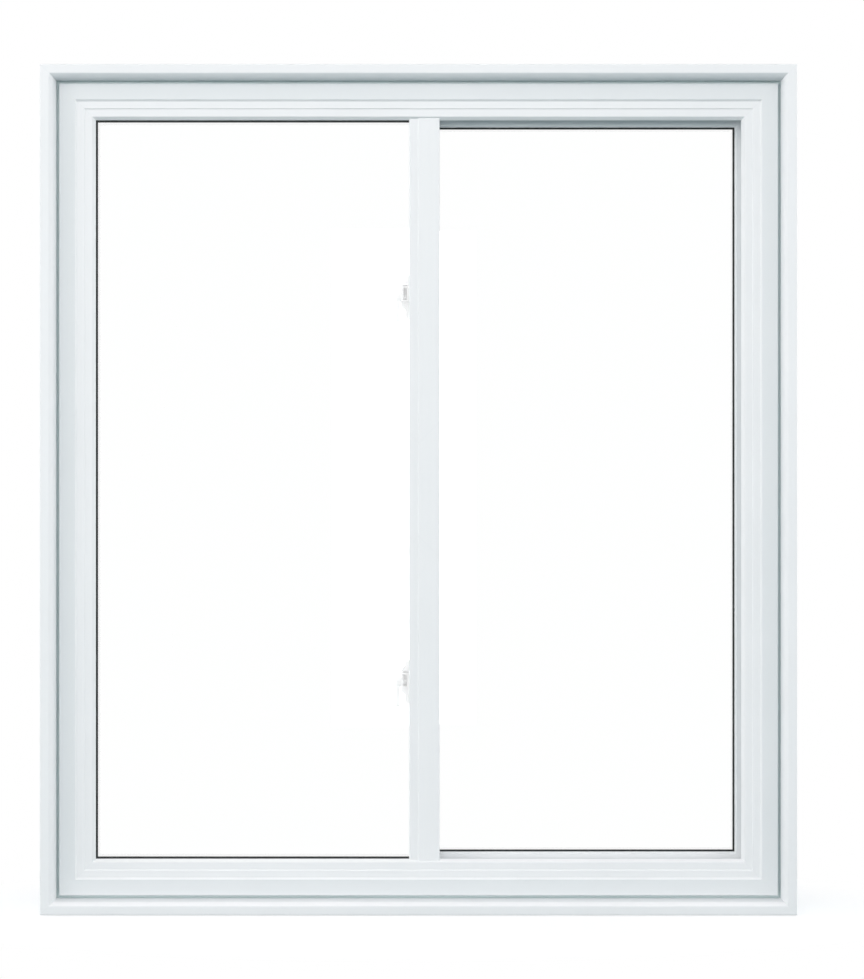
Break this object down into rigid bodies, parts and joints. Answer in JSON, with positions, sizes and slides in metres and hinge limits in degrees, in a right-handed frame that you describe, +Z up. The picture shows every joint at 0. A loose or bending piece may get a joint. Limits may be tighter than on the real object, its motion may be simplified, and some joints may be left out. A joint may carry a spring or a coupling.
{
  "type": "horizontal sliding window",
  "caption": "White vinyl horizontal sliding window: welded stepped frame, fixed double-glazed light, and a sash on rollers that slides behind it and locks with cam levers.",
  "frame": {"origin": "middle of the sill's underside, halfway through the frame's depth", "axes": "+Z up, +X to the right as seen from outside, +Y from outside to inside"},
  "size_m": [1.2066, 0.11, 1.3557],
  "materials": {
    "white_vinyl": "satin",
    "clear_glass": "clear",
    "black_gasket": "matte",
    "glass_spacer": "matte",
    "lock_enamel": "satin",
    "roller_nylon": "satin",
    "track_aluminium": "mill"
  },
  "bodies": {
    "frame": {"frame_head": "white_vinyl", "frame_sill": "white_vinyl", "frame_left_jamb": "white_vinyl", "frame_right_jamb": "white_vinyl", "fixed_meeting_stile": "white_vinyl", "fixed_glazing_gasket": "black_gasket", "fixed_outer_pane": "clear_glass", "fixed_glass_spacer": "glass_spacer", "fixed_inner_pane": "clear_glass", "fixed_bead_top": "white_vinyl", "fixed_bead_bottom": "white_vinyl", "fixed_bead_left": "white_vinyl", "fixed_bead_stile": "white_vinyl", "roller_track": "track_aluminium", "upper_keeper": "lock_enamel", "lower_keeper": "lock_enamel"},
    "sash": {"sash_top_rail": "white_vinyl", "sash_bottom_rail": "white_vinyl", "sash_meeting_stile": "white_vinyl", "sash_pull_stile": "white_vinyl", "sash_glazing_gasket": "black_gasket", "sash_outer_pane": "clear_glass", "sash_glass_spacer": "glass_spacer", "sash_inner_pane": "clear_glass", "sash_bead_top": "white_vinyl", "sash_bead_bottom": "white_vinyl", "sash_bead_left": "white_vinyl", "sash_bead_right": "white_vinyl", "upper_lock_housing": "lock_enamel", "lower_lock_housing": "lock_enamel", "left_roller": "roller_nylon", "right_roller": "roller_nylon", "sash_pull": "white_vinyl"},
    "upper_lever": {"upper_lock_lever": "lock_enamel"},
    "lower_lever": {"lower_lock_lever": "lock_enamel"}
  },
  "joints": [
    {"name": "sash_slide", "type": "slide", "parent": "frame", "child": "sash", "axis": [-1, 0, 0], "range_m": [0, 0.47]},
    {"name": "upper_lock_turn", "type": "hinge", "parent": "sash", "child": "upper_lever", "pos_m": [-0.03, 0.027, 0.98985], "axis": [1, 0, 0], "range_deg": [0, 180]},
    {"name": "lower_lock_turn", "type": "hinge", "parent": "sash", "child": "lower_lever", "pos_m": [-0.03, 0.027, 0.36585], "axis": [1, 0, 0], "range_deg": [0, 180]}
  ]
}
